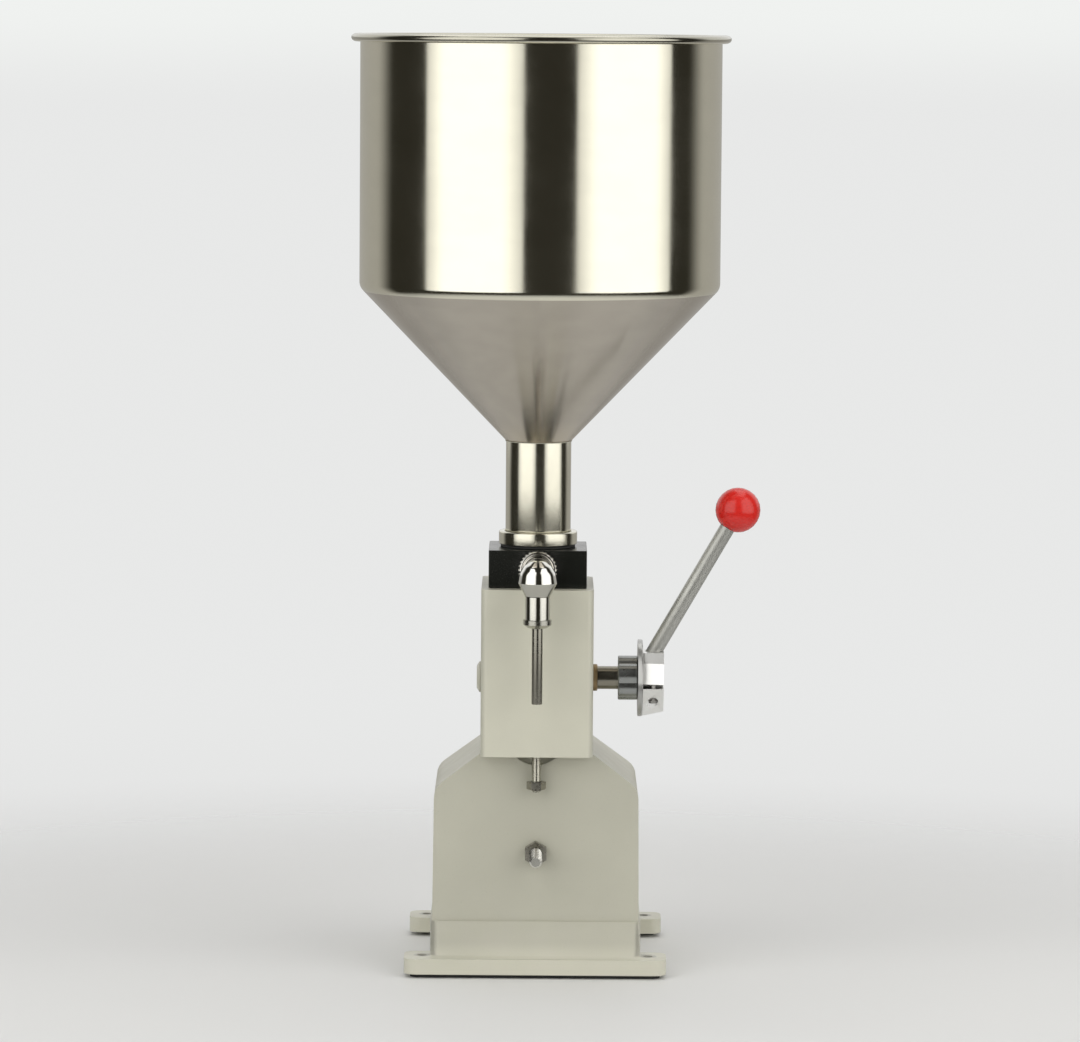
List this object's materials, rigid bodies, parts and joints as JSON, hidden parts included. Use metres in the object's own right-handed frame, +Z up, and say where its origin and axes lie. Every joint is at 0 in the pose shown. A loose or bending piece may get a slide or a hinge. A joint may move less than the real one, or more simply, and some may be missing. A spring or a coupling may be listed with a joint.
{
  "type": "piston liquid filler",
  "caption": "Manual piston liquid filler: steel hopper on a painted column, side lever with a ball, rack-driven piston, front elbow and filling nozzle.",
  "frame": {"origin": "on the flat underside of the base, below the common vertical axis of hopper, cylinder and piston; the rubber strips reach 3 mm lower", "axes": "+Z up, -Y the front with the nozzle, +X the side with the lever"},
  "size_m": [0.3195, 0.323, 0.7302],
  "materials": {
    "beige_paint": "gloss paint on a fine cast surface",
    "polished_steel": "polished stainless steel, satin on the cone",
    "chrome": "bright chrome plate",
    "satin_steel": "turned",
    "ground_steel": "ground",
    "black_plastic": "glossy black",
    "red_plastic": "glossy red",
    "black_rubber": "matt",
    "bronze": "sintered bronze"
  },
  "bodies": {
    "root": {"base_housing": "beige_paint", "column_housing": "beige_paint", "column_back_cover": "beige_paint", "shaft_end_cap": "beige_paint", "cylinder_sleeve": "polished_steel", "nozzle_tube": "polished_steel", "inlet_cage": "polished_steel", "outlet_elbow": "chrome", "outlet_union_nut": "chrome", "nozzle_connector": "chrome", "nozzle_ring": "chrome", "front_stud": "chrome", "front_stud_nut": "chrome", "front_stud_lock_nut": "chrome", "bottom_cover": "ground_steel", "cover_screw_front": "ground_steel", "cover_screw_rear": "ground_steel", "column_bolt_1": "ground_steel", "column_bolt_2": "ground_steel", "column_bolt_3": "ground_steel", "column_bolt_4": "ground_steel", "back_cover_screw_1": "ground_steel", "back_cover_screw_2": "ground_steel", "back_cover_screw_3": "ground_steel", "back_cover_screw_4": "ground_steel", "block_screw_1": "ground_steel", "block_screw_2": "ground_steel", "block_screw_3": "ground_steel", "block_screw_4": "ground_steel", "outlet_spring": "ground_steel", "valve_block": "black_plastic", "foot_strip_front": "black_rubber", "foot_strip_rear": "black_rubber", "bush_left": "bronze", "bush_right": "bronze"},
    "lever": {"pinion": "ground_steel", "pinion_shaft": "polished_steel", "pinion_key": "ground_steel", "retaining_ring": "ground_steel", "lever_hub": "chrome", "hub_clamp_screw": "ground_steel", "lever_rod": "chrome", "ball_knob": "red_plastic", "shaft_collar": "chrome", "collar_set_screw": "ground_steel"},
    "piston": {"piston_head": "satin_steel", "piston_seal_upper": "black_rubber", "piston_seal_lower": "black_rubber", "piston_screw": "ground_steel", "rack": "ground_steel", "stop_arm": "ground_steel", "arm_screw": "ground_steel", "stop_rod": "chrome"},
    "stop_nut": {"stop_nut": "chrome"},
    "inlet_ball": {"inlet_ball": "polished_steel"},
    "outlet_ball": {"outlet_ball": "polished_steel"},
    "hopper": {"hopper_shell": "polished_steel", "hopper_neck": "polished_steel", "hopper_ferrule": "polished_steel", "hopper_gasket": "black_rubber"}
  },
  "joints": [
    {"name": "lever_swing", "type": "hinge", "parent": "root", "child": "lever", "pos_m": [0, -0.01775, 0.229], "axis": [1, 0, 0], "range_deg": [0, 90]},
    {"name": "piston_lift", "type": "slide", "parent": "root", "child": "piston", "axis": [0, 0, 1], "range_m": [0, 0.0203]},
    {"name": "stop_nut_travel", "type": "slide", "parent": "piston", "child": "stop_nut", "axis": [0, 0, -1], "range_m": [-0.018, 0]},
    {"name": "inlet_ball_lift", "type": "slide", "parent": "root", "child": "inlet_ball", "axis": [0, 0, 1], "range_m": [0, 0.0025]},
    {"name": "outlet_ball_open", "type": "slide", "parent": "root", "child": "outlet_ball", "axis": [0, 0, -1], "range_m": [0, 0.002], "stiffness_N_per_m": 100, "springref_m": -0.003, "deforming": ["outlet_spring"]},
    {"name": "hopper_lift", "type": "slide", "parent": "root", "child": "hopper", "axis": [0, 0, 1], "range_m": [0, 0.02]}
  ],
  "couplings": [
    {"joint": "piston_lift", "follows": "lever_swing", "m_per_rad": 0.01275}
  ]
}
